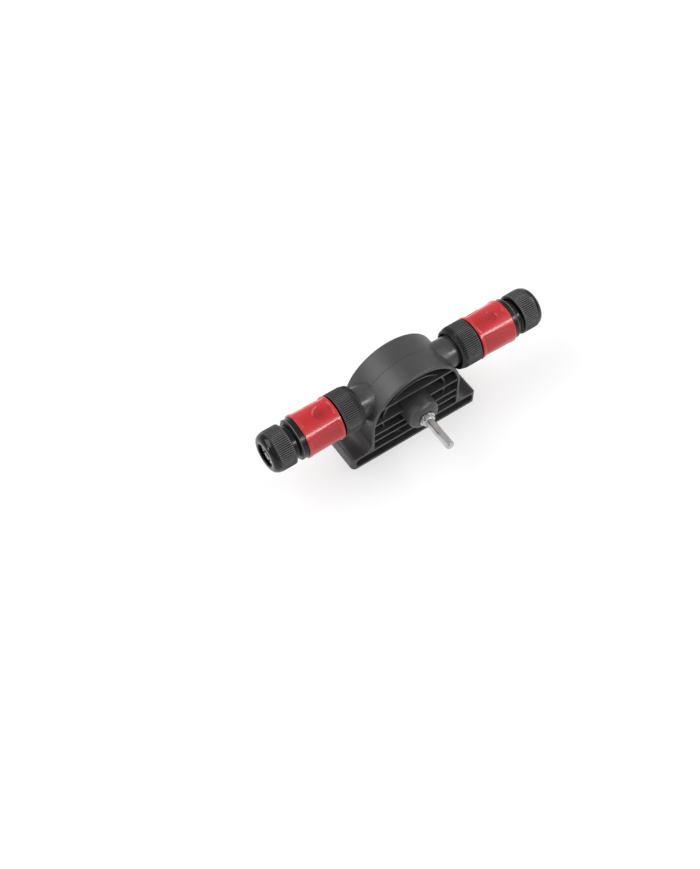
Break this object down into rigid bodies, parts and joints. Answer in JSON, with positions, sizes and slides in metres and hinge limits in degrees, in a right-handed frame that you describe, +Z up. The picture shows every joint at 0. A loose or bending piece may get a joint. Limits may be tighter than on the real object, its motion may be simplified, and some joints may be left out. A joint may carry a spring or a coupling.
{
  "type": "drill powered pump",
  "caption": "Small self-priming water pump turned by a power drill, with a ribbed arched housing, hex drive shaft and quick hose couplings.",
  "frame": {"origin": "centre of the underside of the base, below the crossing of the shaft and the mould parting plane", "axes": "+Z up from the base; +X along the line of the ports; -Y towards the drive shank; +Y towards the rear cover"},
  "size_m": [0.2312, 0.0765, 0.075],
  "materials": {
    "housing_plastic": "satin moulded dark grey plastic",
    "adaptor_plastic": "satin near-black plastic with grip ribs",
    "body_plastic": "smooth black plastic",
    "nut_plastic": "satin near-black plastic with grip ribs",
    "sleeve_red": "glossy red plastic",
    "claw_plastic": "natural white acetal",
    "shaft_steel": "bright turned steel",
    "screw_steel": "zinc plated steel",
    "spring_steel": "drawn spring wire",
    "bearing_bronze": "sintered bronze",
    "insert_brass": "turned brass",
    "rubber": "black nitrile rubber",
    "impeller_rubber": "black moulded rubber"
  },
  "bodies": {
    "pump": {"housing": "housing_plastic", "cover_gasket": "rubber", "rear_cover": "housing_plastic", "cover_screw_1": "screw_steel", "cover_screw_2": "screw_steel", "cover_screw_3": "screw_steel", "cover_screw_4": "screw_steel", "cover_screw_5": "screw_steel", "cover_screw_6": "screw_steel", "front_bearing": "bearing_bronze", "rear_bearing": "bearing_bronze", "shaft_seal": "rubber"},
    "rotor": {"drive_shaft": "shaft_steel", "shaft_collar": "shaft_steel", "impeller": "impeller_rubber", "impeller_insert": "insert_brass", "shaft_clip": "spring_steel"},
    "left_washer": {"left_thread_washer": "rubber"},
    "left_adaptor": {"left_tap_adaptor": "adaptor_plastic", "left_plug_ring": "rubber"},
    "left_claws": {"left_claw_ring": "claw_plastic"},
    "left_coupling": {"left_coupling_body": "body_plastic", "left_sleeve_spring": "spring_steel"},
    "left_sleeve": {"left_release_sleeve": "sleeve_red"},
    "left_collet": {"left_hose_collet": "claw_plastic"},
    "left_nut": {"left_hose_nut": "nut_plastic"},
    "right_washer": {"right_thread_washer": "rubber"},
    "right_adaptor": {"right_tap_adaptor": "adaptor_plastic", "right_plug_ring": "rubber"},
    "right_claws": {"right_claw_ring": "claw_plastic"},
    "right_coupling": {"right_coupling_body": "body_plastic", "right_sleeve_spring": "spring_steel"},
    "right_sleeve": {"right_release_sleeve": "sleeve_red"},
    "right_collet": {"right_hose_collet": "claw_plastic"},
    "right_nut": {"right_hose_nut": "nut_plastic"}
  },
  "joints": [
    {"name": "rotor_spin", "type": "hinge", "parent": "pump", "child": "rotor", "pos_m": [0, 0, 0.0365], "axis": [0, 1, 0], "continuous": true},
    {"name": "left_washer_advance", "type": "slide", "parent": "pump", "child": "left_washer", "axis": [-1, 0, 0], "range_m": [0, 0.0109]},
    {"name": "left_adaptor_turn", "type": "hinge", "parent": "left_washer", "child": "left_adaptor", "pos_m": [-0.05, 0, 0.0515], "axis": [-1, 0, 0], "range_deg": [0, 2160]},
    {"name": "left_coupling_pull", "type": "slide", "parent": "left_adaptor", "child": "left_claws", "axis": [-1, 0, 0], "range_m": [0, 0.024], "deforming": ["left_claw_ring"]},
    {"name": "left_coupling_swivel", "type": "hinge", "parent": "left_claws", "child": "left_coupling", "pos_m": [-0.065, 0, 0.0515], "axis": [-1, 0, 0], "continuous": true},
    {"name": "left_sleeve_release", "type": "slide", "parent": "left_coupling", "child": "left_sleeve", "axis": [-1, 0, 0], "range_m": [0, 0.004], "stiffness_N_per_m": 1200, "springref_m": -0.004, "deforming": ["left_sleeve_spring"]},
    {"name": "left_collet_advance", "type": "slide", "parent": "left_coupling", "child": "left_collet", "axis": [-1, 0, 0], "range_m": [0, 0.00901]},
    {"name": "left_nut_turn", "type": "hinge", "parent": "left_collet", "child": "left_nut", "pos_m": [-0.11, 0, 0.0515], "axis": [-1, 0, 0], "range_deg": [0, 1080]},
    {"name": "right_washer_advance", "type": "slide", "parent": "pump", "child": "right_washer", "axis": [1, 0, 0], "range_m": [0, 0.0109]},
    {"name": "right_adaptor_turn", "type": "hinge", "parent": "right_washer", "child": "right_adaptor", "pos_m": [0.05, 0, 0.0515], "axis": [1, 0, 0], "range_deg": [0, 2160]},
    {"name": "right_coupling_pull", "type": "slide", "parent": "right_adaptor", "child": "right_claws", "axis": [1, 0, 0], "range_m": [0, 0.024], "deforming": ["right_claw_ring"]},
    {"name": "right_coupling_swivel", "type": "hinge", "parent": "right_claws", "child": "right_coupling", "pos_m": [0.065, 0, 0.0515], "axis": [1, 0, 0], "continuous": true},
    {"name": "right_sleeve_release", "type": "slide", "parent": "right_coupling", "child": "right_sleeve", "axis": [1, 0, 0], "range_m": [0, 0.004], "stiffness_N_per_m": 1200, "springref_m": -0.004, "deforming": ["right_sleeve_spring"]},
    {"name": "right_collet_advance", "type": "slide", "parent": "right_coupling", "child": "right_collet", "axis": [1, 0, 0], "range_m": [0, 0.00901]},
    {"name": "right_nut_turn", "type": "hinge", "parent": "right_collet", "child": "right_nut", "pos_m": [0.11, 0, 0.0515], "axis": [1, 0, 0], "range_deg": [0, 1080]}
  ],
  "couplings": [
    {"joint": "left_washer_advance", "follows": "left_adaptor_turn", "m_per_rad": 0.00028871},
    {"joint": "left_collet_advance", "follows": "left_nut_turn", "m_per_rad": 0.00047746},
    {"joint": "right_washer_advance", "follows": "right_adaptor_turn", "m_per_rad": 0.00028871},
    {"joint": "right_collet_advance", "follows": "right_nut_turn", "m_per_rad": 0.00047746}
  ]
}
